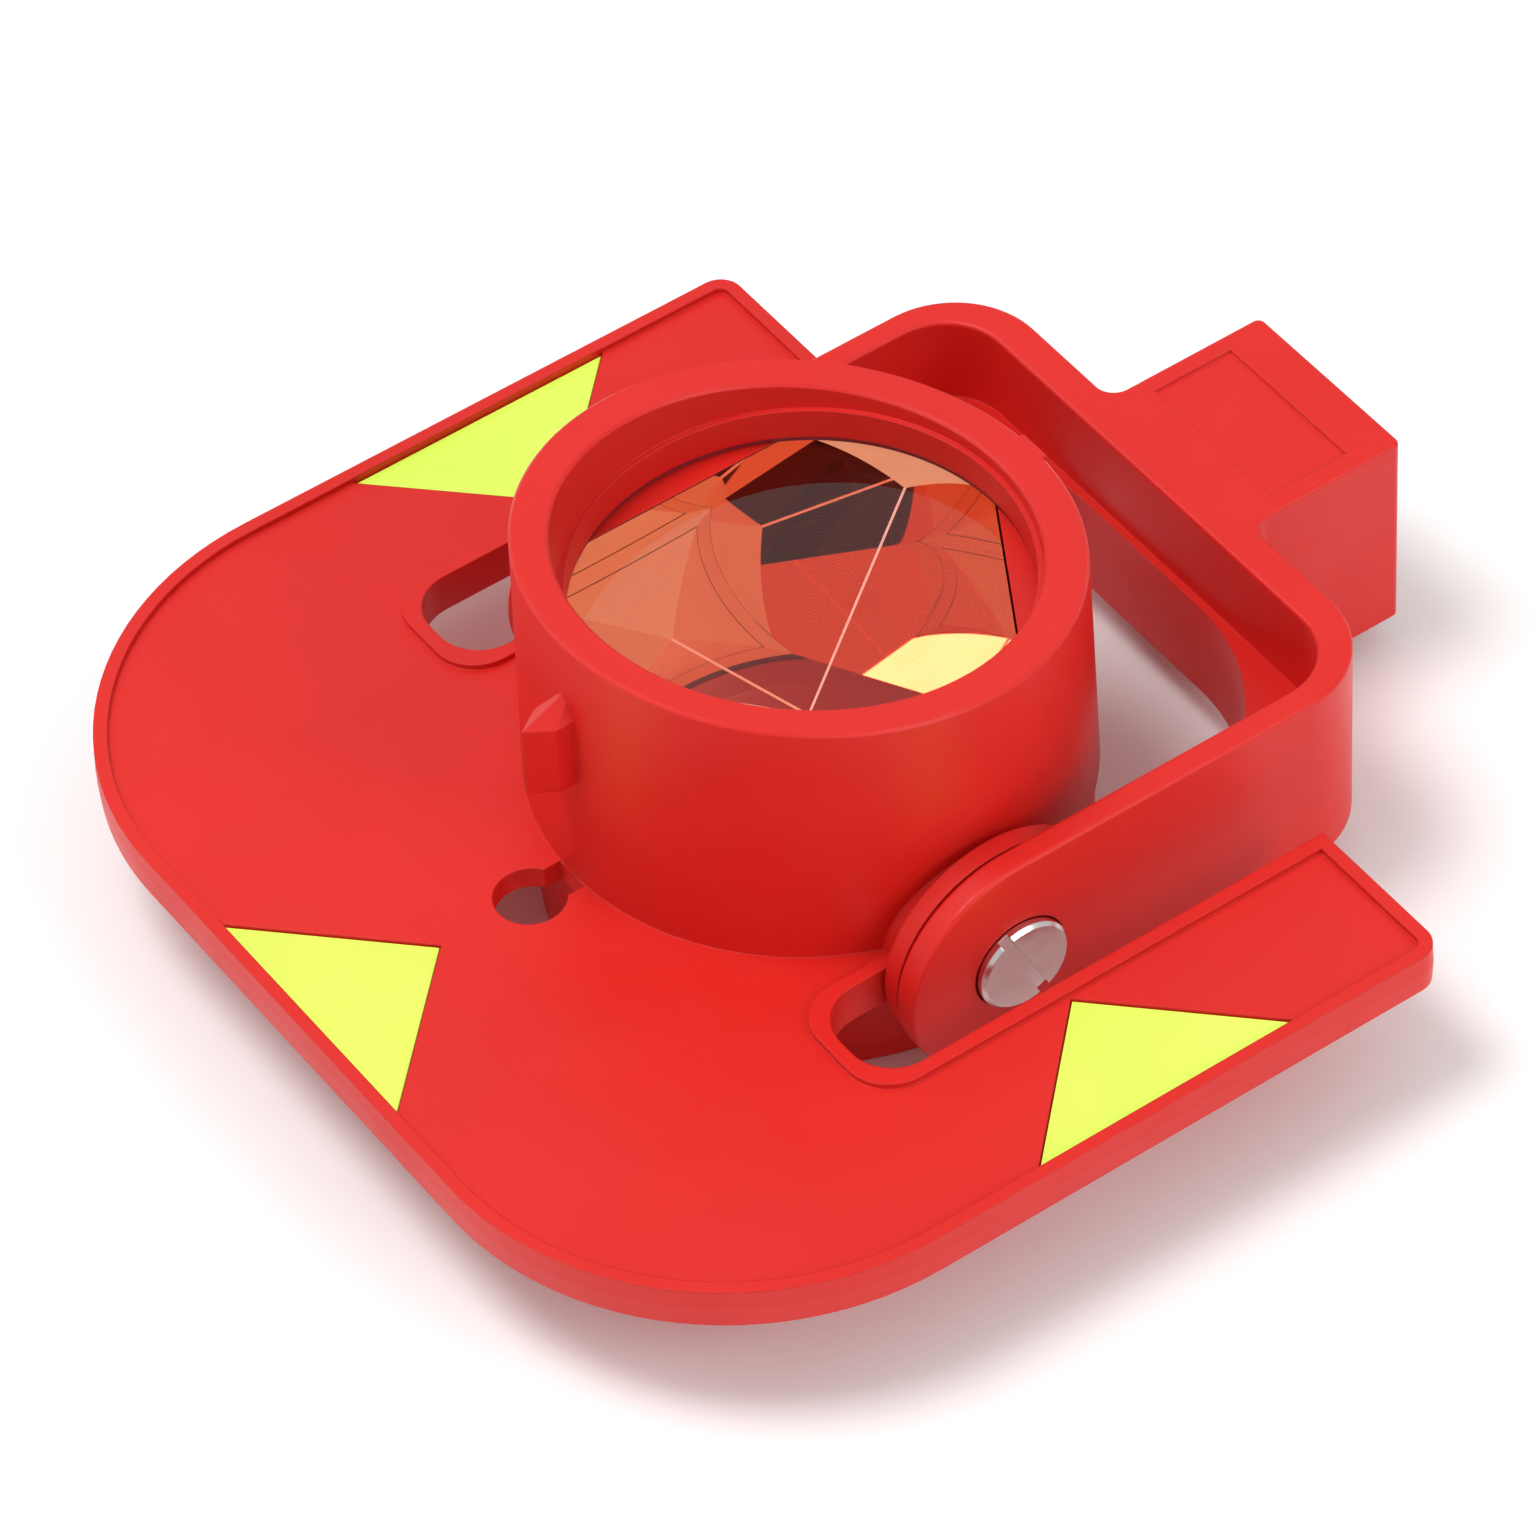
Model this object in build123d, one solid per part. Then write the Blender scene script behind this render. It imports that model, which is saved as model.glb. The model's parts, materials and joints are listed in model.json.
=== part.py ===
from build123d import *
import os
from math import cos, sin, radians, sqrt, tan

# Survey prism: a round corner-cube prism in a polymer target holder, hung in a U-shaped yoke
# whose stem clicks onto a 12 mm spigot.
# Frame: origin where the optical axis meets the flat rear face, +Z along the optical axis towards
# the instrument, +X along the tilt axis, +Y towards the mouth of the spigot socket. Millimetres.

os.makedirs("parts", exist_ok=True)

# ---- driving dimensions ---------------------------------------------------------------------
TILT_HEIGHT = 86.0        # tilt axis to the spigot shoulder, along +Y
TILT_Z = 20.0             # tilt axis above the rear face
GLASS_R = 32.0            # 64 mm round prism
CHORD_DIST = 26.8         # optical axis to the flats that the three mirror facets leave in front
SPIGOT_R = 6.03           # socket bore for a 12 mm spigot

# target plate: z values are heights above the tilt axis
PLATE_HALF_W, PLATE_TOP, LEG_END = 79.2, 80.8, 42.6
PLATE_CORNER_R, LEG_CORNER_R = 44.0, 3.5
LIP_W, LIP_Z, FIELD_Z, WEB_BACK_Z, SKIRT_Z = 2.0, 3.0, 2.2, -1.2, -3.2
PLATE_DRAFT = 2.5         # degrees, from the parting line at the tilt axis both ways
SLOT_OUT_X, SLOT_IN_X, SLOT_END, SLOT_R = 54.2, 38.7, 27.8, 6.5

# triangular aiming marks
MARK_HALF_BASE, MARK_HEIGHT, MARK_T, MARK_TOP_Z = 20.0, 20.0, 0.5, 1.9
MARK_SIDE_X, MARK_TOP_Y = 77.0, 78.6
MARK_GAP = 0.25           # width of the groove around each mark

# barrel, hood and cup
BARREL_R, BARREL_DRAFT = 37.8, 1.2
RIM_Z, RIM_TILT = 39.3, 8.0
MOUTH_R, MOUTH_DRAFT, STEP_Z, APERTURE_R = 31.1, 4.0, 33.0, 30.4
SHOULDER_Z, GLASS_FRONT_Z, GLASS_BORE_R, SEAL_IN_R = 28.3, 27.5, 32.3, 30.6
FILLER_GAP = 0.15         # round the three ribs that fill the bore beside the prism's flats
CUP_R, CUP_BACK_R, CUP_BACK_Z = 37.3, 36.7, -17.5
POINTER_W, POINTER_CORNER_Y, POINTER_TIP_Y = 4.9, 39.8, 43.5
POINTER_Z0, POINTER_Z1, POINTER_APEX_Z = 21.0, 32.1, 35.9
PAD_W, PAD_PROUD, PAD_ROOT, PAD_L = 5.0, 0.5, 2.0, 11.0
KEYHOLE_Y, KEYHOLE_R, KEYHOLE_NECK = 44.4, 4.9, 5.6

# tilt pivot, along X
BOSS_R, BOSS_BACK_X, BOSS_FACE_X = 16.6, 39.2, 41.85
BOSS_NECK_R = 14.0
ARM_IN_X, ARM_OUT_X, ARM_R = 42.2, 45.8, 17.0
SCREW_HEAD_R, SCREW_HEAD_T, HEAD_SINK = 6.85, 2.4, 1.5
HEAD_EDGE, HEAD_GAP = 0.5, 0.2
SHOULDER_R, ARM_BORE_R = 5.0, 5.05
THREAD_R, THREAD_L, INSERT_R, INSERT_L, INSERT_GAP = 3.0, 7.0, 4.2, 7.4, 0.2
FRICTION_R, SPRING_T = 9.0, 0.6
HEAD_IN_X = ARM_OUT_X - HEAD_SINK + SPRING_T     # underside of the screw head
DRIVE_ANGLE, DRIVE_W, DRIVE_DEPTH = 25.0, 1.6, 1.1

# yoke
YOKE_FRONT_Z, YOKE_BACK_Z, YOKE_STEP_Z = 17.0, -12.4, 3.4
YOKE_OUT_Y, YOKE_FRONT_Y, YOKE_BACK_Y = 60.8, 55.5, 54.4
YOKE_OUT_R, YOKE_FRONT_R, YOKE_BACK_R = 13.5, 9.2, 30.0
STEM_HALF_W, STEM_BACK_Z, STEM_JOIN_Y = 15.3, -15.1, 57.5
STEM_CORNER_R, STEM_END_R, HEEL_Y = 2.8, 1.2, 63.4
LABEL_HALF_W, LABEL_Y0, LABEL_Y1, LABEL_DEPTH = 12.5, 66.2, 78.9, 0.35

# spigot socket and its latch
BUSH_R, BUSH_L, FLANGE_R, FLANGE_T, BUSH_EDGE = 8.0, 11.0, 9.5, 1.0, 0.5
SOCKET_END_Y = 60.0
LATCH_Y, LATCH_T, LATCH_HALF_W, LATCH_TOP_Z = 73.5, 1.9, 8.9, 9.0
LATCH_HOLE_R, LATCH_HOLE_Z = 6.2, -1.0
LATCH_TAIL_HALF_W, LATCH_SHOULDER_GAP = 2.8, 0.4
CHAMBER_TOP_Z, CHAMBER_CLEAR = 11.2, 0.15
BUTTON_R, BUTTON_OUT_Z, BUTTON_FLANGE_R, BUTTON_FLANGE_T = 5.0, -18.4, 6.2, 1.2
BUTTON_EDGE, TAIL_GAP = 0.8, 0.2
POCKET_R, POCKET_TOP_Z = 6.5, -8.5
WIRE_R, COIL_R, COIL_TURNS = 0.25, 4.2, 3.5
KEEPER_HALF_W, KEEPER_HALF_L, KEEPER_T, KEEPER_HOLE_R = 10.9, 8.6, 1.6, 5.2
KEEPER_GAP, KEEPER_CORNER_R = 0.1, 1.0
KEEPER_SCREW_X, KEEPER_SCREW_Y, KEEPER_SCREW_R, KEEPER_SCREW_L = 8.6, 68.0, 0.9, 4.5
KEEPER_HEAD_R, KEEPER_HEAD_T, KEEPER_DRIVE_W = 1.7, 0.8, 0.5

# rear cover
COVER_T, COVER_SPIGOT_R, COVER_SPIGOT_L, COVER_SPIGOT_WALL = 2.5, 32.1, 1.2, 2.0
COVER_SCREW_PCR, COVER_SCREW_R, COVER_SCREW_L = 34.3, 1.1, 9.0
COVER_HEAD_R, COVER_DRIVE_L, COVER_DRIVE_W, COVER_DRIVE_DEPTH = 1.9, 2.4, 0.6, 0.7
CRADLE_BACK_Z, CRADLE_FRONT_Z, CRADLE_GAP = -16.2, 10.5, 1.0
CRADLE_RIM, CRADLE_WALL = 3.5, 1.6
WAVE_OUT_R, WAVE_IN_R = 29.9, 26.1
FOAM_OUT, FOAM_H, FOAM_W = 14.0, 9.0, 14.0      # pads between the facets and the cradle

RIM_EDGE, MOULD_EDGE = 0.4, 0.6
OVER = 1.0                # how far a cutting shape runs past the face it cuts


def at(x=0.0, y=0.0, z=0.0):
    """A place given by its height above the tilt axis."""
    return Pos(x, y, TILT_Z + z)


def disc(radius, z0, z1, top_radius=None):
    """An upright cylinder or cone between two heights above the tilt axis."""
    top = radius if top_radius is None else top_radius
    if top == radius:
        return at(z=(z0 + z1) / 2) * Cylinder(radius, z1 - z0)
    return at(z=(z0 + z1) / 2) * Cone(radius, top, z1 - z0)


def ring(outer, inner, z0, z1):
    return disc(outer, z0, z1) - disc(inner, z0 - OVER, z1 + OVER)


def post(radius, x, y, z0, z1):
    """An upright cylinder away from the optical axis."""
    return at(x, y, (z0 + z1) / 2) * Cylinder(radius, z1 - z0)


def block(x0, x1, y0, y1, z0, z1):
    return at((x0 + x1) / 2, (y0 + y1) / 2, (z0 + z1) / 2) * Box(x1 - x0, y1 - y0, z1 - z0)


def rod_x(radius, x0, x1):
    """A cylinder on the tilt axis."""
    return at((x0 + x1) / 2) * Rot(0, 90, 0) * Cylinder(radius, x1 - x0)


def rod_y(radius, y0, y1, z=0.0):
    """A cylinder along the socket."""
    return at(0, (y0 + y1) / 2, z) * Rot(90, 0, 0) * Cylinder(radius, y1 - y0)


def slab(sketch, z0, z1, draft=0.0):
    """A flat sketch raised between two heights above the tilt axis."""
    return extrude(at(z=z0) * sketch, amount=z1 - z0, taper=draft)


def three(make, start=90.0):
    """Three copies a third of a turn apart, as one group."""
    return Compound(children=[Rot(0, 0, start + 120 * i) * make for i in range(3)])


def mirrored(shape):
    return mirror(shape, about=Plane.YZ)


# ---- target plate ---------------------------------------------------------------------------
def plate_outline(inset=0.0):
    half, low, high = PLATE_HALF_W - inset, -PLATE_TOP + inset, LEG_END - inset
    sheet = Pos(0, (low + high) / 2) * Rectangle(2 * half, high - low)
    corners = sheet.vertices().group_by(Axis.Y)
    sheet = fillet(corners[0], PLATE_CORNER_R - inset)
    return fillet(sheet.vertices().group_by(Axis.Y)[-1], LEG_CORNER_R - inset)


def yoke_opening(grow=0.0):
    """The cut-out for the yoke: two slots past the pivots, one gap beyond them."""
    half, low, high = SLOT_OUT_X + grow, -SLOT_END - grow, LEG_END + SLOT_R
    gap = Pos(0, (low + high) / 2) * Rectangle(2 * half, high - low)
    tongue_half, tongue_low = SLOT_IN_X - grow, low - OVER
    gap -= Pos(0, (tongue_low - grow) / 2) * Rectangle(2 * tongue_half, -tongue_low - grow)
    ends = gap.vertices().group_by(Axis.Y)[0]
    return fillet(ends, SLOT_R)


def mark_sketch(grow=0.0):
    """Right-angled triangle, long side on y = 0, point towards +Y."""
    spread = grow * (1 + sqrt(2))
    return make_face(Polyline((-MARK_HALF_BASE - spread, -grow), (MARK_HALF_BASE + spread, -grow),
                              (0, MARK_HEIGHT + grow * sqrt(2)), close=True))


MARK_PLACES = {
    "marker_top": Pos(0, -MARK_TOP_Y),
    "marker_right": Pos(MARK_SIDE_X, 0) * Rot(0, 0, 90),
    "marker_left": Pos(-MARK_SIDE_X, 0) * Rot(0, 0, -90),
}


def target_plate():
    plate = slab(plate_outline(), 0, LIP_Z, PLATE_DRAFT)
    plate += slab(plate_outline(), 0, SKIRT_Z, PLATE_DRAFT)
    field = plate_outline(LIP_W) - yoke_opening(LIP_W)
    plate -= slab(field, FIELD_Z, LIP_Z + OVER)
    plate -= slab(field, SKIRT_Z - OVER, WEB_BACK_Z)
    plate -= slab(yoke_opening(), SKIRT_Z - OVER, LIP_Z + OVER)
    for place in MARK_PLACES.values():
        plate -= slab(place * mark_sketch(MARK_GAP), MARK_TOP_Z - MARK_T, LIP_Z + OVER)
    return plate


# ---- barrel, hood, cup ----------------------------------------------------------------------
def pointer():
    """Sighting pointer at the -Y side of the barrel: a nosed rib under a hipped roof."""
    half, root = POINTER_W / 2, BARREL_R - POINTER_W / 2
    outline = make_face(Polyline((-half, -root), (half, -root), (half, -POINTER_CORNER_Y),
                                 (0, -POINTER_TIP_Y), (-half, -POINTER_CORNER_Y), close=True))
    rib = slab(outline, POINTER_Z0, POINTER_Z1)
    apex = Vertex(0, -root, TILT_Z + POINTER_APEX_Z)
    return rib + loft([at(z=POINTER_Z1) * outline, apex], ruled=True)


def barrel_shell():
    """Drafted barrel whose mouth is cut on a slope, with its pointer and the pad opposite."""
    top_z = RIM_Z + BARREL_R * tan(radians(RIM_TILT)) + OVER
    shell = disc(BARREL_R, 0, top_z, BARREL_R - top_z * tan(radians(BARREL_DRAFT)))
    shell += pointer()
    pad_y = BARREL_R - RIM_Z * tan(radians(BARREL_DRAFT)) + PAD_PROUD
    shell += block(-PAD_W / 2, PAD_W / 2, pad_y - PAD_ROOT, pad_y, RIM_Z - PAD_L, RIM_Z)
    rim_plane = Plane(origin=(0, 0, TILT_Z + RIM_Z),
                      z_dir=(0, sin(radians(RIM_TILT)), cos(radians(RIM_TILT))))
    mouth_l = top_z + OVER - STEP_Z
    shell -= disc(MOUTH_R, STEP_Z, STEP_Z + mouth_l, MOUTH_R + mouth_l * tan(radians(MOUTH_DRAFT)))
    shell = split(shell, bisect_by=rim_plane, keep=Keep.BOTTOM)
    rim_edges = shell.edges().filter_by(
        lambda e: abs(rim_plane.to_local_coords(e.center(CenterOf.BOUNDING_BOX)).Z) < 0.01
        and e.length > BARREL_R)
    return chamfer(rim_edges, RIM_EDGE)


def keyhole():
    """Sighting hole in the plate beneath the pointer, open towards the barrel."""
    neck = Pos(0, -(BARREL_R + KEYHOLE_Y) / 2) * Rectangle(KEYHOLE_NECK, KEYHOLE_Y - BARREL_R)
    return Pos(0, -KEYHOLE_Y) * Circle(KEYHOLE_R) + neck


def bore_rib():
    """Fills the round bore beside one of the prism's front flats."""
    chord = CHORD_DIST + FILLER_GAP
    rib = disc(GLASS_BORE_R + OVER, CRADLE_FRONT_Z + FILLER_GAP, GLASS_FRONT_Z - FILLER_GAP)
    return rib & block(chord, 2 * chord, -chord, chord, 0, GLASS_FRONT_Z)


def target_body():
    body = target_plate() + barrel_shell()
    body += disc(CUP_BACK_R, CUP_BACK_Z, 0, CUP_R)
    body += rod_x(BOSS_NECK_R, -BOSS_FACE_X, BOSS_FACE_X)
    boss = rod_x(BOSS_R, BOSS_BACK_X, BOSS_FACE_X)
    body += boss + mirrored(boss)
    body -= disc(GLASS_BORE_R, CUP_BACK_Z - OVER, SHOULDER_Z)
    body -= disc(APERTURE_R, SHOULDER_Z - OVER, STEP_Z + OVER)
    body -= slab(keyhole(), SKIRT_Z - OVER, LIP_Z + OVER) - disc(BARREL_R, SKIRT_Z - OVER, LIP_Z + OVER)
    pocket = rod_x(INSERT_R, BOSS_FACE_X - INSERT_L - INSERT_GAP, BOSS_FACE_X + OVER)
    body -= pocket + mirrored(pocket)
    body += three(bore_rib(), 60)
    pilot = disc(COVER_SCREW_R, CUP_BACK_Z - OVER, CUP_BACK_Z + COVER_SCREW_L - COVER_T)
    return body - three(Pos(COVER_SCREW_PCR, 0, 0) * pilot)


# ---- prism and what holds it ----------------------------------------------------------------
def facet_plane(offset=0.0):
    """The mirror facet whose flat lies towards +X, moved outwards by an offset."""
    apex_z = GLASS_FRONT_Z - CHORD_DIST * sqrt(2)
    normal = (sqrt(2 / 3), 0, -sqrt(1 / 3))
    return Plane(origin=(offset * normal[0], 0, TILT_Z + apex_z + offset * normal[2]),
                 x_dir=(sqrt(1 / 3), 0, sqrt(2 / 3)), z_dir=normal)


def corner_cube(radius, z_front, offset=0.0):
    """A cylinder cut by the three mutually perpendicular mirror facets."""
    solid = disc(radius, CUP_BACK_Z, z_front)
    for turn in (60, 180, 300):
        facet = Plane(Rot(0, 0, turn) * Location(facet_plane(offset)))
        solid = split(solid, bisect_by=facet, keep=Keep.BOTTOM)
    return solid


def prism_glass():
    return corner_cube(GLASS_R, GLASS_FRONT_Z)


def front_seal():
    return ring(GLASS_R, SEAL_IN_R, GLASS_FRONT_Z, SHOULDER_Z)


def prism_cradle():
    """Round cup with a thin three-sided seat that follows the facets."""
    blank = disc(GLASS_R, CRADLE_BACK_Z, CRADLE_FRONT_Z)
    seat = corner_cube(GLASS_R + OVER, CRADLE_FRONT_Z + OVER, CRADLE_GAP)
    under_seat = disc(GLASS_R - CRADLE_RIM, CRADLE_BACK_Z - OVER, CRADLE_FRONT_Z - CRADLE_WALL)
    under_seat -= corner_cube(GLASS_R + OVER, CRADLE_FRONT_Z + OVER, CRADLE_GAP + CRADLE_WALL)
    return blank - seat - under_seat


def facet_pads():
    """Three foam pads that fill the gap between the facets and the cradle."""
    pad = extrude(facet_plane() * Pos(FOAM_OUT, 0) * Rectangle(FOAM_H, FOAM_W), amount=CRADLE_GAP)
    return three(pad, 60)


def wave_washer():
    return ring(WAVE_OUT_R, WAVE_IN_R, CUP_BACK_Z, CRADLE_BACK_Z)


def countersunk(length):
    """A countersunk pin entered from behind, its flat head flush with the cover."""
    back = CUP_BACK_Z - COVER_T
    neck_z = back + COVER_HEAD_R - COVER_SCREW_R
    pin = disc(COVER_HEAD_R, back, neck_z, COVER_SCREW_R) + disc(COVER_SCREW_R, neck_z, back + length)
    return Pos(COVER_SCREW_PCR, 0, 0) * pin


def rear_cover():
    cover = disc(CUP_BACK_R, CUP_BACK_Z - COVER_T, CUP_BACK_Z)
    cover = chamfer(cover.edges().group_by(Axis.Z)[0], RIM_EDGE)
    locating_ring = ring(COVER_SPIGOT_R, COVER_SPIGOT_R - COVER_SPIGOT_WALL, CUP_BACK_Z,
                         CUP_BACK_Z + COVER_SPIGOT_L)
    return cover + locating_ring - three(countersunk(COVER_SCREW_L))


def cover_screws():
    screw = countersunk(COVER_SCREW_L - 0.5)
    for turn in (0, 90):
        drive = Rot(0, 0, turn) * Box(COVER_DRIVE_L, COVER_DRIVE_W, 2 * COVER_DRIVE_DEPTH)
        screw -= at(COVER_SCREW_PCR, 0, CUP_BACK_Z - COVER_T) * drive
    return three(screw)


def marker(name):
    return slab(MARK_PLACES[name] * mark_sketch(), MARK_TOP_Z - MARK_T, MARK_TOP_Z)


# ---- tilt pivot, +X side ---------------------------------------------------------------------
def thread_insert():
    insert = rod_x(INSERT_R, BOSS_FACE_X - INSERT_L, BOSS_FACE_X)
    return insert - rod_x(THREAD_R, BOSS_FACE_X - INSERT_L - OVER, BOSS_FACE_X + OVER)


def friction_washer():
    washer = rod_x(FRICTION_R, BOSS_FACE_X, ARM_IN_X)
    return washer - rod_x(SHOULDER_R, BOSS_FACE_X - OVER, ARM_IN_X + OVER)


def spring_washer():
    washer = rod_x(SCREW_HEAD_R - HEAD_GAP, ARM_OUT_X - HEAD_SINK, HEAD_IN_X)
    return washer - rod_x(SHOULDER_R, ARM_IN_X, HEAD_IN_X + OVER)


def pivot_screw():
    """Slotted shoulder screw: the arm turns on its shoulder, its thread sits in the insert."""
    head_out = HEAD_IN_X + SCREW_HEAD_T
    head = rod_x(SCREW_HEAD_R, HEAD_IN_X, head_out)
    head = chamfer(head.edges().group_by(Axis.X)[-1], HEAD_EDGE)
    head -= at(head_out) * Rot(DRIVE_ANGLE, 0, 0) * Box(2 * DRIVE_DEPTH, DRIVE_W, 4 * SCREW_HEAD_R)
    shoulder = rod_x(SHOULDER_R, BOSS_FACE_X, HEAD_IN_X)
    return head + shoulder + rod_x(THREAD_R, BOSS_FACE_X - THREAD_L, BOSS_FACE_X)


# ---- yoke -----------------------------------------------------------------------------------
def yoke_profile(half_w, end_y, corner_r):
    """A rectangle from the tilt axis to end_y with its two far corners rounded."""
    sheet = Pos(0, end_y / 2) * Rectangle(2 * half_w, end_y)
    return fillet(sheet.vertices().group_by(Axis.Y)[-1], corner_r)


def yoke_frame():
    """The U with its round arm ends and its stem, before any bore."""
    plan = yoke_profile(ARM_OUT_X, YOKE_OUT_Y, YOKE_OUT_R)
    plan += Pos(0, (STEM_JOIN_Y + TILT_HEIGHT) / 2) * Rectangle(2 * STEM_HALF_W, TILT_HEIGHT - STEM_JOIN_Y)
    stem_corners = plan.vertices().filter_by_position(Axis.X, -STEM_HALF_W, STEM_HALF_W)
    plan = fillet(stem_corners.group_by(Axis.Y)[0], STEM_CORNER_R)
    plan = fillet(plan.vertices().group_by(Axis.Y)[-1], STEM_END_R)
    frame = slab(plan, YOKE_BACK_Z, YOKE_FRONT_Z)
    heel = block(-STEM_HALF_W, STEM_HALF_W, HEEL_Y, TILT_HEIGHT, STEM_BACK_Z, YOKE_BACK_Z + OVER)
    frame += fillet(heel.edges().filter_by(Axis.Z).group_by(Axis.Y)[-1], STEM_END_R)
    frame += rod_x(ARM_R, -ARM_OUT_X, ARM_OUT_X)
    reach = ARM_R + OVER
    frame -= slab(yoke_profile(ARM_IN_X, YOKE_FRONT_Y, YOKE_FRONT_R), YOKE_STEP_Z, reach)
    frame -= slab(yoke_profile(ARM_IN_X, YOKE_BACK_Y, YOKE_BACK_R), -reach, YOKE_STEP_Z)
    return frame - block(-ARM_IN_X, ARM_IN_X, -reach, 0, -reach, reach)


def yoke():
    body = yoke_frame()
    body = fillet(body.edges().filter_by(Plane.XY).group_by(Axis.Z)[-1], MOULD_EDGE)
    body -= block(-LABEL_HALF_W, LABEL_HALF_W, LABEL_Y0, LABEL_Y1,
                  YOKE_FRONT_Z - LABEL_DEPTH, YOKE_FRONT_Z + OVER)
    body -= rod_x(ARM_BORE_R, -ARM_OUT_X - OVER, ARM_OUT_X + OVER)
    counterbore = rod_x(SCREW_HEAD_R + HEAD_GAP, ARM_OUT_X - HEAD_SINK, ARM_OUT_X + OVER)
    body -= counterbore + mirrored(counterbore)
    body -= rod_y(SPIGOT_R, SOCKET_END_Y, TILT_HEIGHT + OVER)
    body -= rod_y(BUSH_R, TILT_HEIGHT - BUSH_L, TILT_HEIGHT + OVER)
    body -= rod_y(FLANGE_R, TILT_HEIGHT - FLANGE_T, TILT_HEIGHT + OVER)
    body -= latch_blade(LATCH_HALF_W + CHAMBER_CLEAR, STEM_BACK_Z - OVER, CHAMBER_TOP_Z, CHAMBER_CLEAR)
    body -= post(POCKET_R, 0, LATCH_Y, STEM_BACK_Z - OVER, POCKET_TOP_Z)
    body -= block(-KEEPER_HALF_W, KEEPER_HALF_W, LATCH_Y - KEEPER_HALF_L, LATCH_Y + KEEPER_HALF_L,
                  STEM_BACK_Z - OVER, STEM_BACK_Z + KEEPER_T)
    pilot = post(KEEPER_SCREW_R, KEEPER_SCREW_X, KEEPER_SCREW_Y,
                 STEM_BACK_Z, STEM_BACK_Z + KEEPER_SCREW_L + OVER)
    return body - pilot - mirrored(pilot)


# ---- spigot socket and latch ------------------------------------------------------------------
def socket_bush():
    bush = rod_y(BUSH_R, TILT_HEIGHT - BUSH_L, TILT_HEIGHT)
    bush += rod_y(FLANGE_R, TILT_HEIGHT - FLANGE_T, TILT_HEIGHT)
    bush -= rod_y(SPIGOT_R, TILT_HEIGHT - BUSH_L - OVER, TILT_HEIGHT + OVER)
    mouth = bush.edges().filter_by(GeomType.CIRCLE).group_by(Axis.Y)[-1].sort_by(SortBy.RADIUS)[0]
    return chamfer(mouth, BUSH_EDGE)


def latch_blade(half_w, z0, z1, grow=0.0):
    """An upright sheet across the socket, in the plane of the latch."""
    half_t = LATCH_T / 2 + grow
    return block(-half_w, half_w, LATCH_Y - half_t, LATCH_Y + half_t, z0, z1)


KEEPER_IN_Z = STEM_BACK_Z + KEEPER_T           # inner face of the button keeper


def latch_plate():
    """Sliding latch: its hole sits low, so that its upper edge bites the spigot groove."""
    shoulder_z = POCKET_TOP_Z + LATCH_SHOULDER_GAP
    plate = latch_blade(LATCH_HALF_W, shoulder_z, LATCH_TOP_Z)
    plate += latch_blade(LATCH_TAIL_HALF_W, KEEPER_IN_Z + TAIL_GAP, shoulder_z)
    return plate - rod_y(LATCH_HOLE_R, LATCH_Y - LATCH_T, LATCH_Y + LATCH_T, LATCH_HOLE_Z)


def release_button():
    """Push button with a retaining flange, slotted for the tail of the latch."""
    flange_top = KEEPER_IN_Z + BUTTON_FLANGE_T
    cap = post(BUTTON_R, 0, LATCH_Y, BUTTON_OUT_Z, KEEPER_IN_Z)
    cap = fillet(cap.edges().group_by(Axis.Z)[0], BUTTON_EDGE)
    cap += post(BUTTON_FLANGE_R, 0, LATCH_Y, KEEPER_IN_Z, flange_top)
    return cap - latch_blade(LATCH_TAIL_HALF_W, KEEPER_IN_Z + TAIL_GAP, flange_top + OVER)


def latch_spring():
    """Compression spring around the latch tail, between button flange and pocket roof."""
    low = KEEPER_IN_Z + BUTTON_FLANGE_T + WIRE_R
    height = POCKET_TOP_Z - WIRE_R - low
    path = Helix(pitch=height / COIL_TURNS, height=height, radius=COIL_R)
    section = Plane(origin=path @ 0, z_dir=path % 0) * Circle(WIRE_R)
    return at(0, LATCH_Y, low) * sweep(section, path=path, is_frenet=True)


def button_keeper():
    half_w, half_l = KEEPER_HALF_W - KEEPER_GAP, KEEPER_HALF_L - KEEPER_GAP
    keeper = block(-half_w, half_w, LATCH_Y - half_l, LATCH_Y + half_l, STEM_BACK_Z, KEEPER_IN_Z)
    keeper = fillet(keeper.edges().filter_by(Axis.Z), KEEPER_CORNER_R)
    keeper -= post(KEEPER_HOLE_R, 0, LATCH_Y, STEM_BACK_Z - OVER, KEEPER_IN_Z + OVER)
    screw_hole = post(KEEPER_SCREW_R, KEEPER_SCREW_X, KEEPER_SCREW_Y, STEM_BACK_Z - OVER, KEEPER_IN_Z + OVER)
    return keeper - screw_hole - mirrored(screw_hole)


def keeper_screws():
    out_z = STEM_BACK_Z - KEEPER_HEAD_T
    screw = post(KEEPER_HEAD_R, KEEPER_SCREW_X, KEEPER_SCREW_Y, out_z, STEM_BACK_Z)
    drive = Box(2 * KEEPER_HEAD_R + OVER, KEEPER_DRIVE_W, KEEPER_HEAD_T)
    screw -= at(KEEPER_SCREW_X, KEEPER_SCREW_Y, out_z) * drive
    screw += post(KEEPER_SCREW_R, KEEPER_SCREW_X, KEEPER_SCREW_Y, STEM_BACK_Z, STEM_BACK_Z + KEEPER_SCREW_L)
    return Compound(children=[screw, mirrored(screw)])


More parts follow.
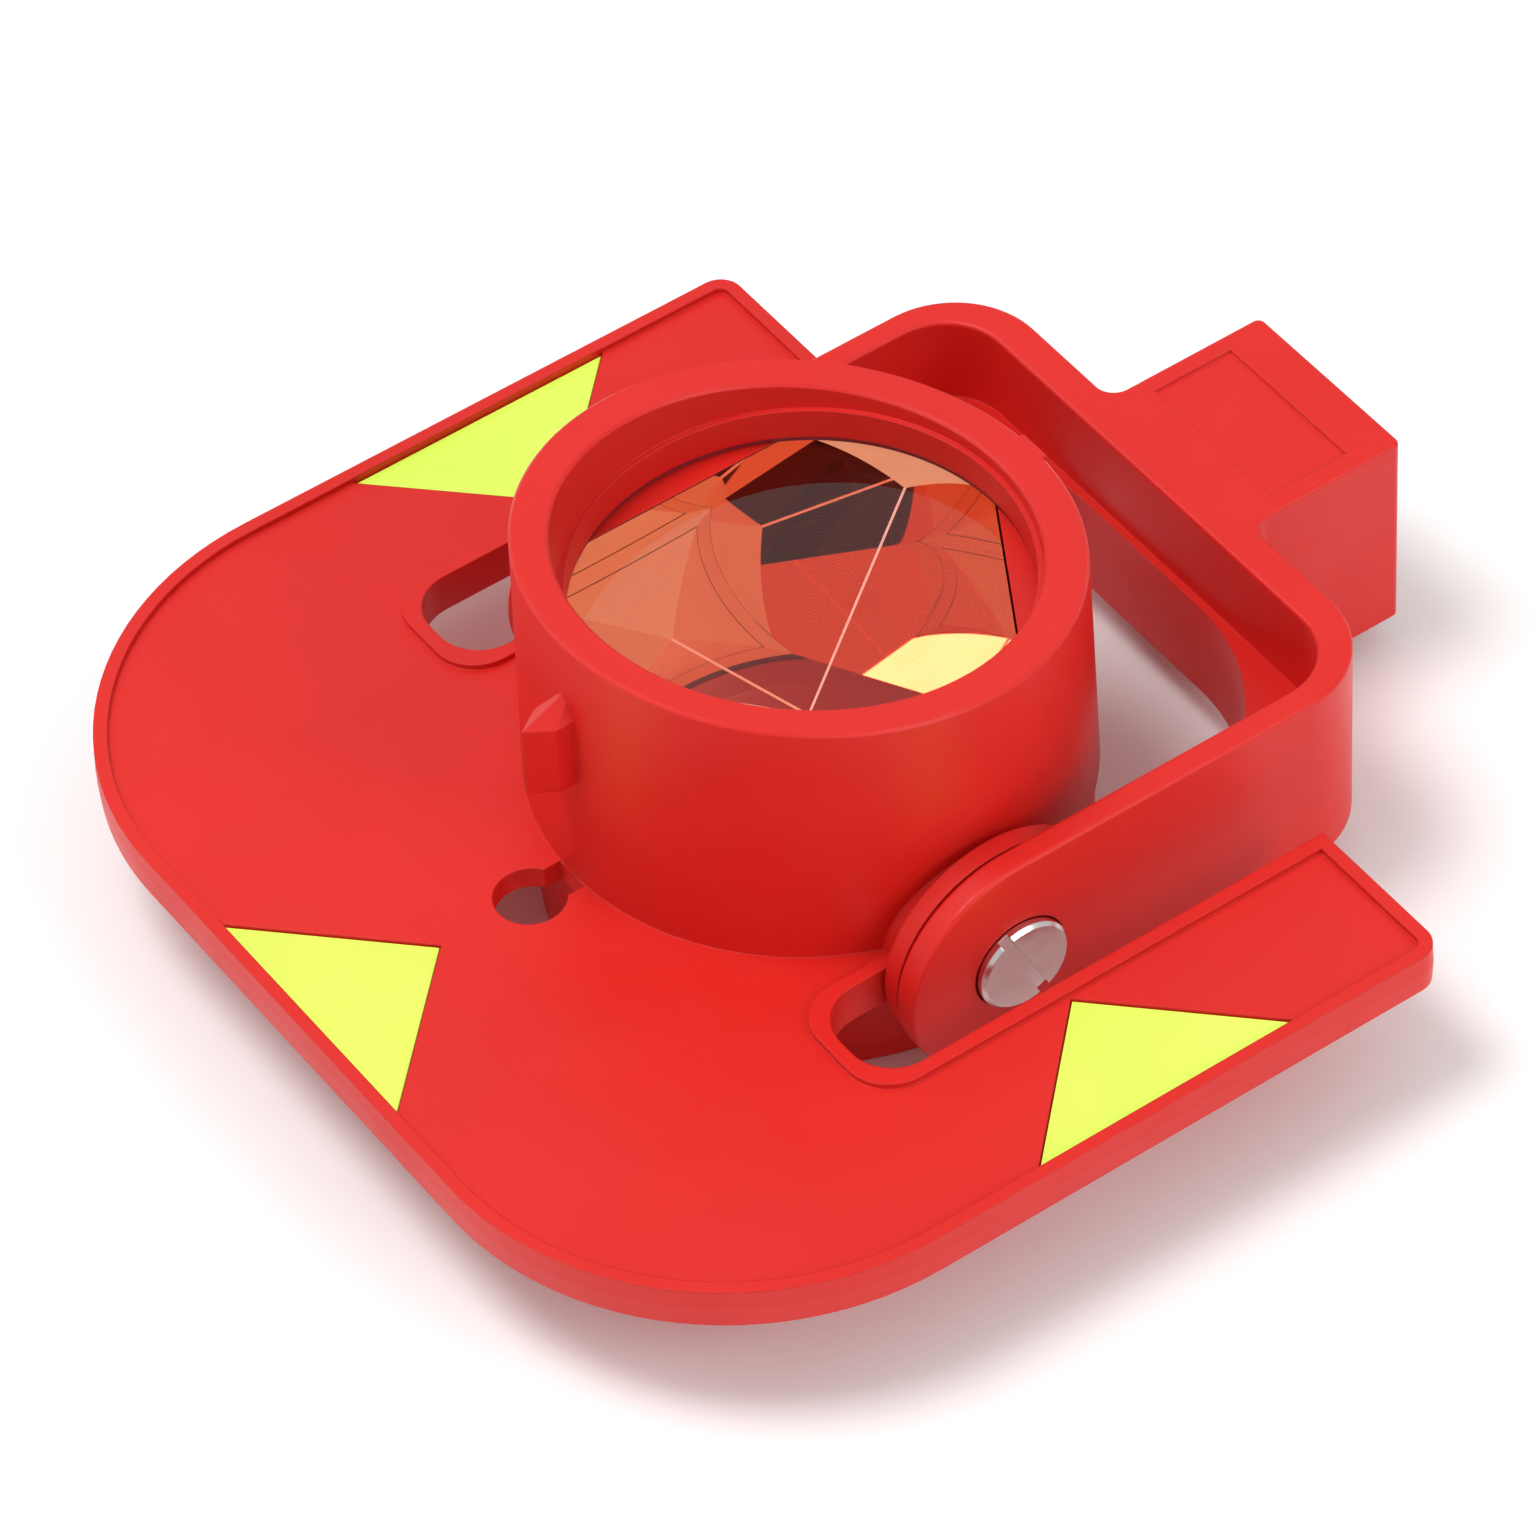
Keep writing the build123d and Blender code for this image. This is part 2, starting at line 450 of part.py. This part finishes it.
# ---- write every sub-part -------------------------------------------------------------------
SUB_PARTS = {
    "target_body": target_body(),
    "prism_glass": prism_glass(),
    "front_seal": front_seal(),
    "prism_cradle": prism_cradle(),
    "facet_pads": facet_pads(),
    "wave_washer": wave_washer(),
    "rear_cover": rear_cover(),
    "cover_screws": cover_screws(),
    "yoke": yoke(),
    "socket_bush": socket_bush(),
    "latch_plate": latch_plate(),
    "release_button": release_button(),
    "latch_spring": latch_spring(),
    "button_keeper": button_keeper(),
    "keeper_screws": keeper_screws(),
}
for mark_name in MARK_PLACES:
    SUB_PARTS[mark_name] = marker(mark_name)
for piece_name, piece in (("thread_insert", thread_insert()), ("friction_washer", friction_washer()),
                          ("spring_washer", spring_washer()), ("pivot_screw", pivot_screw())):
    SUB_PARTS[piece_name + "_right"] = piece
    SUB_PARTS[piece_name + "_left"] = mirrored(piece)

for node, shape in SUB_PARTS.items():
    export_step(shape, f"parts/{node}.step")
print(len(SUB_PARTS), "sub-parts written")
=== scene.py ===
import json
from math import cos, radians, sin, sqrt

import bmesh
import bpy
from mathutils import Matrix, Vector


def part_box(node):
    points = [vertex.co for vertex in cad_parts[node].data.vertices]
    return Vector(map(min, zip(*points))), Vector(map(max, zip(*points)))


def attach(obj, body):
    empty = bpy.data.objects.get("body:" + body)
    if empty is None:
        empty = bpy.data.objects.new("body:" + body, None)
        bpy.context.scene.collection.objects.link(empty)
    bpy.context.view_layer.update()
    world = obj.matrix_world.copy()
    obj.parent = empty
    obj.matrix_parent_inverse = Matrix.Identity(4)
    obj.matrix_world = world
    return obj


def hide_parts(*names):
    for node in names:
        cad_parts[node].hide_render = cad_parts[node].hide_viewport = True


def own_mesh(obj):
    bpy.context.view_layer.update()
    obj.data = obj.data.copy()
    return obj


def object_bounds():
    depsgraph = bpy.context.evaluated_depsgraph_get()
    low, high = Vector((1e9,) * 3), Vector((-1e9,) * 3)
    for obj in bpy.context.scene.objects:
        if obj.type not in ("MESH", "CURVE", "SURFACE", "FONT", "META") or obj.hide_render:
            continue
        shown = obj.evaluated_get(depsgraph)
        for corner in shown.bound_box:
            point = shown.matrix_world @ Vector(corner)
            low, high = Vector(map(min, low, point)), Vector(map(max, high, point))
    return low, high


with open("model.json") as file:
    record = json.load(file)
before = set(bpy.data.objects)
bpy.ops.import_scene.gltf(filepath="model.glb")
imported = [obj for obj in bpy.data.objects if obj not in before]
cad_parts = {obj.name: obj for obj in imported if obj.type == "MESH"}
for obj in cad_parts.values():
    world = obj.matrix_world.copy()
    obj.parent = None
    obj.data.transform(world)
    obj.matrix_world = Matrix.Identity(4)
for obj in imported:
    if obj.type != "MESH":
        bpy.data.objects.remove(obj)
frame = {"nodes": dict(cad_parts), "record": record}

# Looks of the survey prism. Lengths are in metres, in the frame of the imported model:
# +Z out of the hood along the line of sight, +X along the tilt axis, +Y out of the spigot socket.

SIZE_BEFORE = [list(corner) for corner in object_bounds()]
MM = 0.001

# ---- places taken from the frame ------------------------------------------------------------
NODES = frame["nodes"]
JOINTS = {joint["name"]: joint for joint in frame["record"]["behaviour"]["joints"]}
TILT_AXIS = Vector(JOINTS["tilt_hinge"]["pos_m"])
GROUND = SIZE_BEFORE[0][2]

# ---- camera, fitted to the photo ------------------------------------------------------------
CAM_AZIMUTH, CAM_ELEVATION, CAM_ROLL = 57.14, 46.55, 3.63     # degrees
CAM_DISTANCE = 1.1344
CAM_LENS, CAM_SENSOR = 203.3, 36.0                            # millimetres
CAM_CLIP = (0.05, 20.0)
CAM_AIM = TILT_AXIS + Vector((-2.23, -5.36, -0.98)) * MM

# ---- glass ----------------------------------------------------------------------------------
FACET_INSET = 0.25 * MM        # keeps the mirror coating in front of the pads that press on it
FRONT_CHAMFER = 1.3 * MM       # ground edge of the front face, under the seal
SHADOW_LINE_HEIGHT = 0.15 * MM          # height of a thin band of painted shadow, the shade of the seal and shoulder, where the chamfer meets the side
ROOF_FLAT = 0.15 * MM          # depth of the narrow flats where two facets meet
FACET_TURNS = (60, 180, 300)   # which way round the axis each facet faces, degrees
RIM_STEPS = 192                # sides of the round rim
SAME_WAY = 0.9999              # cosine from which a face counts as lying in a cut plane
UPWARD = 0.99                  # cosine from which a face counts as the front

# ---- studio ---------------------------------------------------------------------------------
FILL = 0.66                    # strength of the light from all round; the camera sees 1.0
FLOOR_HALF = 6.0
CARD_TOWARDS = Vector((0.57, -0.48, 0.67)).normalized()
CARD_DISTANCE, CARD_RADIUS, CARD_SIDES = 1.7, 0.28, 48
# name, azimuth and elevation in degrees, distance, size, power in watts, mirrored by the glass
SOFTBOXES = (
    ("softbox_top", -31.0, 69.8, 1.3, 0.47, 4.8, True),
    ("softbox_rim", -31.0, 69.8, 1.3, 0.66, 4.2, False),
    ("softbox_left", -50.0, 35.0, 1.6, 0.9, 2.5, True),
    ("softbox_right", 108.0, 30.0, 1.6, 0.9, 8.0, True),
)
BOUNCES, GLOSSY_BOUNCES = 24, 16      # rays take more turns in the corner cube than the defaults

# ---- colours, linear ------------------------------------------------------------------------
RED = (0.655, 0.014, 0.009)
RED_DEEP = (0.56, 0.009, 0.006)
RED_WORN = (0.78, 0.09, 0.065)
MARK_YELLOW = (0.57, 0.84, 0.085)
MARK_SPECK = (0.45, 0.60, 0.05)
MARK_BLOOM = (0.95, 1.0, 0.25)
CLEAR = (0.99, 0.985, 0.98)
COPPER = (0.945, 0.63, 0.515)
COPPER_STAIN = (0.93, 0.58, 0.46)
# The two lacquer colours tint the ground glass and also the painted light it gives off.
LACQUER_AND_PAINTED_LIGHT = (0.60, 0.25, 0.140)
EDGE_LACQUER_AND_PAINTED_LIGHT = (0.80, 0.42, 0.33)
# Colour of the painted shadow band just under the chamfer of the glass.
PAINTED_SHADOW_COLOUR = (0.12, 0.035, 0.025)
STEEL = (0.72, 0.71, 0.69)
BRASS = (0.78, 0.56, 0.24)
METAL_WORN = (0.92, 0.92, 0.91)
BLACK = (0.018, 0.018, 0.020)
BLACK_DEEP = (0.010, 0.010, 0.012)
BLACK_WORN = (0.10, 0.10, 0.10)
PALE = (0.86, 0.85, 0.82)
PALE_DEEP = (0.72, 0.70, 0.66)
PALE_WORN = (0.93, 0.92, 0.90)
FOAM, FOAM_DUST = (0.014, 0.014, 0.015), (0.040, 0.039, 0.038)
SEAL, SEAL_LIT = (0.16, 0.010, 0.018), (0.24, 0.016, 0.026)
PAPER, PAPER_LIT = (0.90, 0.90, 0.90), (0.93, 0.93, 0.93)
WHITE = (1.0, 1.0, 1.0, 1.0)

MIX_INPUTS, MIX_RESULT = (0, 6, 7), 2      # factor, A and B, and the result, of a colour mix


class Shader:
    """A procedural material: nodes are added by type, with their sockets set by name."""

    def __init__(self, name):
        self.material = bpy.data.materials.new(name)
        self.material.use_nodes = True
        self.tree = self.material.node_tree
        self.tree.nodes.clear()
        self.out = self.add("ShaderNodeOutputMaterial")
        self.place = self.add("ShaderNodeTexCoord").outputs["Object"]

    def add(self, kind, values=None, **settings):
        node = self.tree.nodes.new(kind)
        for key, value in settings.items():
            setattr(node, key, value)
        for key, value in (values or {}).items():
            self.feed(node.inputs[key], value)
        return node

    def feed(self, socket, value):
        if isinstance(value, bpy.types.NodeSocket):
            self.tree.links.new(value, socket)
        elif isinstance(value, tuple) and len(value) == 3 and socket.type == "RGBA":
            socket.default_value = (*value, 1.0)
        else:
            socket.default_value = value

    def noise(self, scale, detail=3.0, rough=0.55, place=None):
        values = {"Vector": place or self.place, "Scale": scale, "Detail": detail,
                  "Roughness": rough}
        return self.add("ShaderNodeTexNoise", values).outputs["Fac"]

    def ramp(self, value, low, high, to_low=0.0, to_high=1.0):
        """The value stretched from low..high to to_low..to_high, clamped."""
        values = {"Value": value, "From Min": low, "From Max": high,
                  "To Min": to_low, "To Max": to_high}
        return self.add("ShaderNodeMapRange", values).outputs["Result"]

    def math(self, operation, a, b=0.0):
        return self.add("ShaderNodeMath", {0: a, 1: b}, operation=operation).outputs["Value"]

    def times(self, a, b):
        return self.math("MULTIPLY", a, b)

    def plus(self, a, b):
        return self.math("ADD", a, b)

    def mix(self, factor, a, b):
        node = self.add("ShaderNodeMix", data_type="RGBA")
        for key, value in zip(MIX_INPUTS, (factor, a, b)):
            self.feed(node.inputs[key], value)
        return node.outputs[MIX_RESULT]

    def bump(self, height, strength, depth, normal=None):
        values = {"Height": height, "Strength": strength, "Distance": depth}
        if normal is not None:
            values["Normal"] = normal
        return self.add("ShaderNodeBump", values).outputs["Normal"]

    def edges(self, radius):
        """A softened normal, and how strongly each point lies on an edge."""
        soft = self.add("ShaderNodeBevel", {"Radius": radius}, samples=4).outputs["Normal"]
        true = self.add("ShaderNodeNewGeometry").outputs["Normal"]
        dot = self.add("ShaderNodeVectorMath", {0: soft, 1: true}, operation="DOT_PRODUCT")
        return soft, self.ramp(dot.outputs["Value"], low=0.97, high=0.72)

    def surface(self, values):
        shader = self.add("ShaderNodeBsdfPrincipled", values)
        self.tree.links.new(shader.outputs[0], self.out.inputs["Surface"])
        return self.material


# ---- materials ------------------------------------------------------------------------------
def moulded(name, colour, deep, worn, rough=0.42, grain=0.22):
    """Injection-moulded polymer: spark-eroded grain, faint flow marks, scuffs, pale worn edges."""
    s = Shader(name)
    soft, edge = s.edges(radius=0.3 * MM)
    flow = s.ramp(s.noise(scale=38.0, detail=2.0), low=0.35, high=0.65)
    scuff = s.ramp(s.noise(scale=420.0, detail=8.0, rough=0.7), low=0.66, high=0.78)
    wear = s.times(edge, s.ramp(s.noise(scale=260.0, detail=4.0), low=0.40, high=0.70))
    body = s.mix(s.times(flow, 0.35), colour, deep)
    body = s.mix(s.times(scuff, 0.25), body, worn)
    body = s.mix(s.times(wear, 0.45), body, worn)
    fine, coarse = s.noise(scale=2600.0, detail=2.0), s.noise(scale=900.0, detail=2.0)
    height = s.plus(fine, s.times(coarse, 0.5))
    gloss = s.ramp(s.noise(scale=70.0), low=0.3, high=0.7,
                   to_low=rough - 0.05, to_high=rough + 0.07)
    return s.surface({"Base Color": body, "Roughness": gloss, "IOR": 1.49,
                      "Specular IOR Level": 0.38,
                      "Normal": s.bump(height, strength=grain, depth=0.06 * MM, normal=soft)})


def marker_film():
    """Fluorescent film: even, a little glossy, with fine orange peel and a few dust specks. It
    gives off faint painted light, which stands in for its real fluorescence.
    """
    s = Shader("marker_film")
    speck = s.ramp(s.noise(scale=1500.0, detail=6.0, rough=0.7), low=0.70, high=0.80)
    bloom = s.ramp(s.noise(scale=45.0, detail=2.0), low=0.4, high=0.7, to_high=0.12)
    colour = s.mix(s.times(speck, 0.30), MARK_YELLOW, MARK_SPECK)
    colour = s.mix(bloom, colour, MARK_BLOOM)
    gloss = s.ramp(s.noise(scale=120.0), low=0.3, high=0.7, to_low=0.30, to_high=0.42)
    peel = s.noise(scale=700.0, detail=2.0)
    # The emission is painted light, standing in for the film's fluorescence.
    return s.surface({"Base Color": colour, "Roughness": gloss,
                      "Normal": s.bump(peel, strength=0.08, depth=0.05 * MM),
                      "Emission Color": MARK_YELLOW, "Emission Strength": 0.22})


def turned_metal(name, colour, axis_point, rough=0.16):
    """Faced metal: concentric tool marks about an axis along X, hairline scratches, worn edges."""
    s = Shader(name)
    soft, edge = s.edges(radius=0.25 * MM)
    offset = s.add("ShaderNodeVectorMath", {0: s.place, 1: tuple(axis_point)},
                   operation="SUBTRACT").outputs["Vector"]
    parts = s.add("ShaderNodeSeparateXYZ", {"Vector": offset}).outputs
    radius = s.math("SQRT", s.plus(s.times(parts["Y"], parts["Y"]),
                                   s.times(parts["Z"], parts["Z"])))
    turned = s.add("ShaderNodeCombineXYZ", {"X": radius, "Y": parts["X"]}).outputs["Vector"]
    rings = s.noise(scale=9000.0, detail=2.0, place=turned)
    drawn = s.add("ShaderNodeMapping", {"Vector": s.place, "Scale": (1.0, 1.0, 14.0)})
    hairs = s.ramp(s.noise(scale=700.0, detail=6.0, rough=0.7, place=drawn.outputs["Vector"]),
                   low=0.62, high=0.70)
    shade = s.mix(s.times(hairs, 0.35), colour, tuple(c * 0.6 for c in colour))
    shade = s.mix(s.times(edge, 0.5), shade, METAL_WORN)
    height = s.plus(s.times(rings, 0.6), s.times(hairs, 0.4))
    gloss = s.ramp(s.noise(scale=240.0), low=0.3, high=0.7, to_low=rough * 0.7, to_high=rough * 1.5)
    sheen = s.add("ShaderNodeTangent", direction_type="RADIAL", axis="X").outputs["Tangent"]
    return s.surface({"Base Color": shade, "Metallic": 1.0, "Roughness": gloss,
                      "Anisotropic": 0.8, "Tangent": sheen,
                      "Normal": s.bump(height, strength=0.10, depth=0.02 * MM, normal=soft)})


def foam_rubber():
    s = Shader("foam_rubber")
    cells = s.add("ShaderNodeTexVoronoi", {"Vector": s.place, "Scale": 1400.0}).outputs["Distance"]
    return s.surface({"Base Color": s.mix(s.noise(scale=90.0), FOAM, FOAM_DUST), "Roughness": 0.85,
                      "Normal": s.bump(cells, strength=0.5, depth=0.2 * MM)})


def seal_rubber():
    s = Shader("seal_rubber")
    return s.surface({"Base Color": s.mix(s.noise(scale=200.0), SEAL, SEAL_LIT), "Roughness": 0.5,
                      "Normal": s.bump(s.noise(scale=1800.0), strength=0.2, depth=0.05 * MM)})


def floor_paper():
    s = Shader("floor_paper")
    tone = s.mix(s.noise(scale=9.0, detail=4.0), PAPER, PAPER_LIT)
    return s.surface({"Base Color": tone, "Roughness": 0.9,
                      "Normal": s.bump(s.noise(scale=900.0), strength=0.05, depth=0.1 * MM)})


def prism_front():
    """Polished front face of the glass: clear, with the least trace of smears."""
    s = Shader("prism_front")
    smear = s.ramp(s.noise(scale=60.0, detail=5.0, rough=0.65), low=0.55, high=0.80, to_high=0.012)
    return s.surface({"Base Color": CLEAR, "Roughness": smear, "IOR": 1.52,
                      "Transmission Weight": 1.0})


def facet_copper():
    """The copper coating behind the facets, seen through the glass: a mirror, faintly stained."""
    s = Shader("facet_copper")
    stain = s.ramp(s.noise(scale=85.0, detail=5.0, rough=0.6), low=0.45, high=0.75)
    gloss = s.ramp(s.noise(scale=400.0), low=0.3, high=0.7, to_low=0.004, to_high=0.02)
    return s.surface({"Base Color": s.mix(s.times(stain, 0.5), COPPER, COPPER_STAIN),
                      "Metallic": 1.0, "Roughness": gloss})


def ground_glass(name, tint, painted_glow):
    """Fine-ground, lacquered glass. It gives off painted light, which stands in for light the front
    lets in; its strength is set to match the photo.
    """
    s = Shader(name)
    mottle = s.times(s.noise(scale=260.0, detail=4.0), 0.3)
    tone = s.mix(mottle, tint, tuple(c * 0.75 for c in tint))
    return s.surface({"Base Color": tone, "Roughness": 0.5,
                      "Normal": s.bump(s.noise(scale=3000.0), strength=0.2, depth=0.03 * MM),
                      "Emission Color": tone, "Emission Strength": painted_glow})


def coat(mesh, material):
    """Gives the mesh that one material."""
    mesh.materials.clear()
    mesh.materials.append(material)


def paint(material, *names):
    """Gives the material to whole CAD nodes."""
    for name in names:
        coat(NODES[name].data, material)


# ---- small builders -------------------------------------------------------------------------
def add_object(name, data):
    thing = bpy.data.objects.new(name, data)
    bpy.context.scene.collection.objects.link(thing)
    return thing


def to_mesh(bm, name):
    mesh = bpy.data.meshes.new(name)
    bm.to_mesh(mesh)
    bm.free()
    return mesh


def spherical(azimuth, elevation):
    """The direction to a viewer who looks at the object from that side, in degrees."""
    a, e = radians(azimuth), radians(elevation)
    return Vector((sin(a) * cos(e), -cos(a) * cos(e), sin(e)))


def stand(centre, towards, distance):
    """A place that far from the centre, with its local -Z looking back at it."""
    turn = towards.to_track_quat("Z", "Y").to_matrix().to_4x4()
    return Matrix.Translation(centre + towards * distance) @ turn


# ---- the prism glass ------------------------------------------------------------------------
def turn_profile(bm, profile):
    """Adds a closed solid of revolution about Z from (radius, height) pairs, lowest first."""
    turns = [radians(360 * i / RIM_STEPS) for i in range(RIM_STEPS)]
    loops = []
    for radius, height in profile:
        loops.append([bm.verts.new((radius * cos(t), radius * sin(t), height)) for t in turns])
    for under, over in zip(loops, loops[1:]):
        for i in range(RIM_STEPS):
            bm.faces.new((under[i - 1], under[i], over[i], over[i - 1]))
    bm.faces.new(loops[0][::-1])
    bm.faces.new(loops[-1])


def cut_flat(bm, point, normal):
    """Grinds one flat: drops what lies beyond the plane and closes the cut."""
    geometry = bm.verts[:] + bm.edges[:] + bm.faces[:]
    cut = bmesh.ops.bisect_plane(bm, geom=geometry, plane_co=point, plane_no=normal,
                                 clear_outer=True)
    rim = [e for e in cut["geom_cut"] if isinstance(e, bmesh.types.BMEdge)]
    bmesh.ops.contextual_create(bm, geom=rim)


def build_glass():
    """A round glass with three square mirror facets and narrow flats on its roof edges."""
    low, high = (Vector(corner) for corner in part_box("prism_glass"))
    radius, chord = high.y, -low.x
    apex = Vector((0.0, 0.0, high.z - chord * sqrt(2) + FACET_INSET))
    shadow_line_top = high.z - FRONT_CHAMFER
    shadow_line_low = shadow_line_top - SHADOW_LINE_HEIGHT
    bm = bmesh.new()
    turn_profile(bm, ((radius, low.z), (radius, shadow_line_low), (radius, shadow_line_top),
                      (radius - FRONT_CHAMFER, high.z)))
    across, down = sqrt(2 / 3), -sqrt(1 / 3)
    facets = [Vector((across * cos(radians(turn)), across * sin(radians(turn)), down))
              for turn in FACET_TURNS]
    roofs = [(facets[i - 1] + facets[i]).normalized() for i in range(3)]
    for normal in facets:
        cut_flat(bm, apex, normal)
    for normal in roofs:
        cut_flat(bm, apex - normal * ROOF_FLAT, normal)
    bmesh.ops.recalc_face_normals(bm, faces=bm.faces[:])

    # The ground sides and roof flats give off painted light, standing in for light the front lets
    # in.
    looks = {"front": prism_front(), "facet": facet_copper(),
             "side": ground_glass("ground_side", LACQUER_AND_PAINTED_LIGHT, painted_glow=0.9),
             "edge": ground_glass("ground_edge", EDGE_LACQUER_AND_PAINTED_LIGHT, painted_glow=0.6),
             "line": ground_glass("painted_shadow_line", PAINTED_SHADOW_COLOUR, painted_glow=0.1)}
    slots = list(looks)
    for face in bm.faces:
        if face.normal.z > UPWARD:
            look = "front"
        elif max(face.normal.dot(n) for n in facets) > SAME_WAY:
            look = "facet"
        elif max(face.normal.dot(n) for n in roofs) > SAME_WAY:
            look = "edge"
        else:
            # A thin band of the side just under the chamfer is painted shadow.
            look = "line" if shadow_line_low < face.calc_center_median().z < shadow_line_top else "side"
        face.material_index = slots.index(look)
    mesh = to_mesh(bm, "prism_glass_polished")
    for material in looks.values():
        mesh.materials.append(material)
    glass = add_object("prism_glass_polished", mesh)
    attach(glass, "target")
    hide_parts("prism_glass")


def build_latch_spring(material):
    """The latch spring as a piece of its own, which rides on the button."""
    mesh = NODES["latch_spring"].data.copy()
    coat(mesh, material)
    spring = add_object("latch_spring_coil", mesh)
    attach(spring, "button")
    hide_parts("latch_spring")
    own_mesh(spring)


# ---- studio ---------------------------------------------------------------------------------
def add_camera():
    data = bpy.data.cameras.new("camera")
    data.lens, data.sensor_width = CAM_LENS, CAM_SENSOR
    data.clip_start, data.clip_end = CAM_CLIP
    camera = add_object("camera", data)
    level = stand(CAM_AIM, spherical(CAM_AZIMUTH, CAM_ELEVATION), CAM_DISTANCE)
    camera.matrix_world = level @ Matrix.Rotation(radians(-CAM_ROLL), 4, "Z")
    bpy.context.scene.camera = camera


def add_floor():
    bm = bmesh.new()
    bmesh.ops.create_grid(bm, x_segments=1, y_segments=1, size=FLOOR_HALF)
    mesh = to_mesh(bm, "floor")
    coat(mesh, floor_paper())
    floor = add_object("floor", mesh)
    floor.location.z = GROUND


def set_world():
    """Even fill light from all round, white where the camera sees it, also through the glass."""
    world = bpy.data.worlds.new("studio")
    bpy.context.scene.world = world
    world.use_nodes = True
    tree = world.node_tree
    back = tree.nodes["Background"]
    back.inputs["Color"].default_value = WHITE
    path = tree.nodes.new("ShaderNodeLightPath").outputs
    seen = tree.nodes.new("ShaderNodeMath")
    seen.operation, seen.use_clamp = "ADD", True
    tree.links.new(path["Is Camera Ray"], seen.inputs[0])
    tree.links.new(path["Is Transmission Ray"], seen.inputs[1])
    level = tree.nodes.new("ShaderNodeMapRange")
    level.inputs["To Min"].default_value, level.inputs["To Max"].default_value = FILL, 1.0
    tree.links.new(seen.outputs["Value"], level.inputs["Value"])
    tree.links.new(level.outputs["Result"], back.inputs["Strength"])
    bpy.context.scene.view_settings.view_transform = "Standard"


def add_softbox(name, azimuth, elevation, distance, size, power, mirrored):
    data = bpy.data.lights.new(name, "AREA")
    data.shape, data.size, data.energy = "DISK", size, power
    lamp = add_object(name, data)
    lamp.matrix_world = stand(TILT_AXIS, spherical(azimuth, elevation), distance)
    lamp.visible_transmission = mirrored


def add_dark_card():
    """A dark card for the prism to mirror. The camera doesn't see it, and it casts no shadow."""
    bm = bmesh.new()
    bmesh.ops.create_circle(bm, cap_ends=True, segments=CARD_SIDES, radius=CARD_RADIUS)
    mesh = to_mesh(bm, "dark_card")
    coat(mesh, moulded("card_black", BLACK, BLACK, BLACK))
    card = add_object("dark_card", mesh)
    card.matrix_world = stand(TILT_AXIS, CARD_TOWARDS, CARD_DISTANCE)
    card.visible_camera = card.visible_shadow = False


# ---- dress the object -----------------------------------------------------------------------
red = moulded("red_polymer", RED, RED_DEEP, RED_WORN)
dark = moulded("dark_polymer", BLACK, BLACK_DEEP, BLACK_WORN, rough=0.5)
pale = moulded("washer_polymer", PALE, PALE_DEEP, PALE_WORN, rough=0.35, grain=0.08)
steel = turned_metal("turned_steel", STEEL, TILT_AXIS)
brass = turned_metal("insert_brass", BRASS, TILT_AXIS, rough=0.25)

paint(red, "target_body", "yoke", "rear_cover")
paint(dark, "prism_cradle", "button_keeper", "release_button")
paint(foam_rubber(), "facet_pads")
paint(seal_rubber(), "front_seal")
paint(marker_film(), "marker_top", "marker_left", "marker_right")
paint(steel, "wave_washer", "cover_screws", "keeper_screws", "socket_bush", "latch_plate")
for side in ("left", "right"):
    paint(steel, f"pivot_screw_{side}", f"spring_washer_{side}")
    paint(brass, f"thread_insert_{side}")
    paint(pale, f"friction_washer_{side}")

build_glass()
build_latch_spring(steel)

# ---- set the studio -------------------------------------------------------------------------
add_camera()
add_floor()
set_world()
for softbox in SOFTBOXES:
    add_softbox(*softbox)
add_dark_card()
bpy.context.scene.cycles.max_bounces = BOUNCES
bpy.context.scene.cycles.glossy_bounces = GLOSSY_BOUNCES
